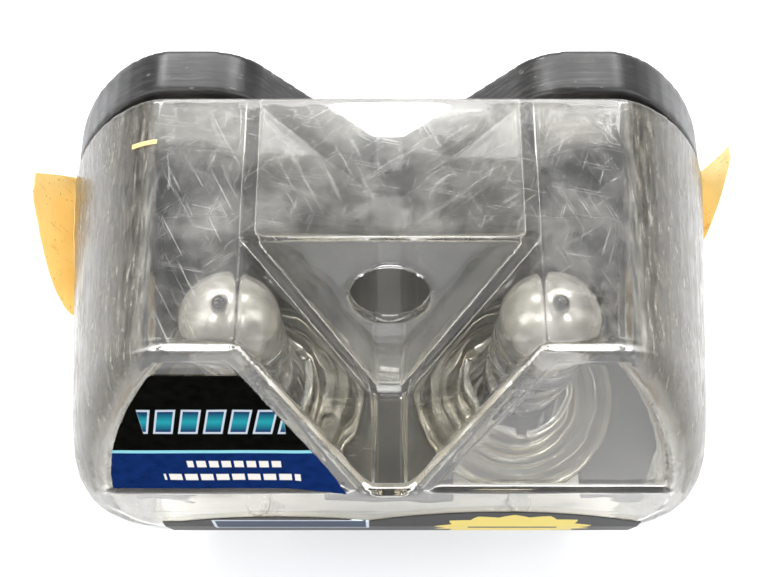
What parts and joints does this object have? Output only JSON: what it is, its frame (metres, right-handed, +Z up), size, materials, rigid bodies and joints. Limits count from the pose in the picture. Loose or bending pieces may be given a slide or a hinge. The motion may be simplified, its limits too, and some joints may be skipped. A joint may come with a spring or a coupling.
{
  "type": "headlight bulb twin pack",
  "caption": "Clear moulded hanging pack with a black back shell and fork tray that hold halogen headlight bulbs upright.",
  "frame": {"origin": "middle of the pack's footprint, on the floor", "axes": "-Y is the pack's front, +X its right as seen from the front, +Z up towards the bulbs' glass tips"},
  "size_m": [0.1384, 0.0734, 0.096],
  "materials": {
    "clear_plastic": "clear, scuffed on the edges",
    "black_plastic": "satin black, scuffed",
    "label": "printed gloss film",
    "tape": "yellowed film with specks",
    "quartz_glass": "clear, with a silver cap",
    "tungsten": "dull grey coil",
    "molybdenum": "satin",
    "nickel": "stamped and nickel plated",
    "insulator": "moulded phenolic",
    "tinned_brass": "tinned"
  },
  "bodies": {
    "clear_shell": {"clear_floor": "clear_plastic", "clear_left_lower": "clear_plastic", "clear_right_lower": "clear_plastic", "clear_left_upper": "clear_plastic", "clear_right_upper": "clear_plastic", "clear_hang_plate": "clear_plastic", "window_label": "label", "front_label": "label", "left_tape": "tape", "right_tape": "tape"},
    "back_shell": {"back_plate": "black_plastic", "back_left_rim": "black_plastic", "back_right_rim": "black_plastic", "bulb_tray": "black_plastic"},
    "left_bulb": {"left_glass": "quartz_glass", "left_main_filament": "tungsten", "left_dipped_filament": "tungsten", "left_beam_shield": "molybdenum", "left_lead_wires": "molybdenum", "left_foils": "molybdenum", "left_collar": "nickel", "left_flange": "nickel", "left_base_can": "nickel", "left_insulator": "insulator", "left_dipped_blade": "tinned_brass", "left_main_blade": "tinned_brass", "left_earth_blade": "tinned_brass"},
    "right_bulb": {"right_glass": "quartz_glass", "right_main_filament": "tungsten", "right_dipped_filament": "tungsten", "right_beam_shield": "molybdenum", "right_lead_wires": "molybdenum", "right_foils": "molybdenum", "right_collar": "nickel", "right_flange": "nickel", "right_base_can": "nickel", "right_insulator": "insulator", "right_dipped_blade": "tinned_brass", "right_main_blade": "tinned_brass", "right_earth_blade": "tinned_brass"}
  },
  "joints": [
    {"name": "back_slide", "type": "slide", "parent": "clear_shell", "child": "back_shell", "axis": [0, 1, 0], "range_m": [0, 0.12]},
    {"name": "left_bulb_slide", "type": "slide", "parent": "clear_shell", "child": "left_bulb", "axis": [0, 1, 0], "range_m": [0, 0.06]},
    {"name": "right_bulb_slide", "type": "slide", "parent": "clear_shell", "child": "right_bulb", "axis": [0, 1, 0], "range_m": [0, 0.06]}
  ],
  "couplings": [
    {"joint": "left_bulb_slide", "follows": "back_slide", "ratio": 0.5},
    {"joint": "right_bulb_slide", "follows": "back_slide", "ratio": 0.5}
  ]
}
